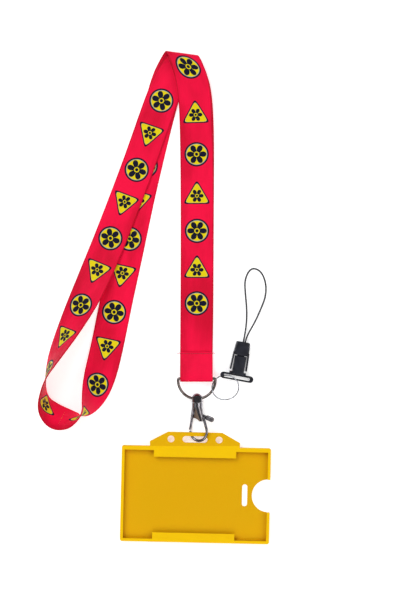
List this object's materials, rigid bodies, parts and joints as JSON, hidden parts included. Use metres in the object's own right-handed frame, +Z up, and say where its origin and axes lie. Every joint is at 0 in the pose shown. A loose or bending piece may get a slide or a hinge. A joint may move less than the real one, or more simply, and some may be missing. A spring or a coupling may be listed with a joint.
{
  "type": "lanyard badge holder",
  "caption": "Neck strap of flat ribbon with a wire ring, a trigger hook, a rigid open-faced card holder and a small release buckle with a cord loop.",
  "frame": {"origin": "middle of the card holder's flat back face, which lies on the table", "axes": "+X to the right across the holder, +Y from the holder towards the top of the strap, +Z up from the table"},
  "size_m": [0.1417, 0.3022, 0.021],
  "materials": {
    "strap_fabric": "satin printed polyester ribbon",
    "thread": "sewing thread",
    "nickel": "bright nickel plate",
    "hook_metal": "dark nickel plate on a casting",
    "spring_steel": "drawn wire",
    "black_plastic": "fine moulded texture",
    "black_cord": "braided nylon",
    "yellow_plastic": "satin moulded plastic"
  },
  "bodies": {
    "strap": {"neck_strap": "strap_fabric", "seam_stitching": "thread"},
    "d_ring": {"d_ring": "nickel"},
    "eye": {"swivel_eye": "hook_metal"},
    "hook": {"hook_body": "hook_metal", "trigger_pin": "hook_metal", "trigger_spring": "spring_steel"},
    "lever": {"trigger_lever": "hook_metal"},
    "holder": {"card_holder": "yellow_plastic"},
    "split_ring": {"split_ring": "nickel"},
    "buckle_plug": {"buckle_plug": "black_plastic"},
    "buckle_cap": {"buckle_shell": "black_plastic", "cord_knot": "black_cord", "loop_cord": "black_cord"},
    "arm_left": {"release_arm_left": "black_plastic"},
    "arm_right": {"release_arm_right": "black_plastic"}
  },
  "joints": [
    {"name": "d_ring_swing", "type": "hinge", "parent": "strap", "child": "d_ring", "pos_m": [0.0008, 0.0712, 0.0053], "axis": [1, 0, 0], "range_deg": [-60, 60]},
    {"name": "eye_swing", "type": "hinge", "parent": "d_ring", "child": "eye", "pos_m": [0.001, 0.05873, 0.0035], "axis": [1, 0, 0], "range_deg": [-45, 45]},
    {"name": "hook_spin", "type": "hinge", "parent": "eye", "child": "hook", "pos_m": [0.001, 0.05, 0.0035], "axis": [0, 1, 0], "continuous": true},
    {"name": "lever_press", "type": "hinge", "parent": "hook", "child": "lever", "pos_m": [0.00029, 0.0501, 0.00312], "axis": [-0.4695, 0, 0.8829], "range_deg": [0, 14], "stiffness_Nm_per_rad": 0.002},
    {"name": "holder_swing", "type": "hinge", "parent": "hook", "child": "holder", "pos_m": [0.00205, 0.0331, 0.0044], "axis": [0, 0, 1], "range_deg": [-12, 3]},
    {"name": "split_ring_swing", "type": "hinge", "parent": "d_ring", "child": "split_ring", "pos_m": [0.01188, 0.06734, 0.00475], "axis": [0.2334, 0.9624, 0.1387], "range_deg": [-15, 18]},
    {"name": "buckle_swing", "type": "hinge", "parent": "split_ring", "child": "buckle_plug", "pos_m": [0.02045, 0.07301, 0.00305], "axis": [0.9586, -0.1938, 0.2085], "range_deg": [-8, 12]},
    {"name": "cap_pull", "type": "slide", "parent": "buckle_plug", "child": "buckle_cap", "axis": [0.1822, 0.9833, 0], "range_m": [0, 0.014]},
    {"name": "arm_left_squeeze", "type": "hinge", "parent": "buckle_cap", "child": "arm_left", "pos_m": [0.02366, 0.08743, 0.00341], "axis": [0.1038, -0.0192, 0.9944], "range_deg": [0, 4], "stiffness_Nm_per_rad": 0.002},
    {"name": "arm_right_squeeze", "type": "hinge", "parent": "buckle_cap", "child": "arm_right", "pos_m": [0.03247, 0.08579, 0.00246], "axis": [-0.1038, 0.0192, -0.9944], "range_deg": [0, 4], "stiffness_Nm_per_rad": 0.002}
  ]
}
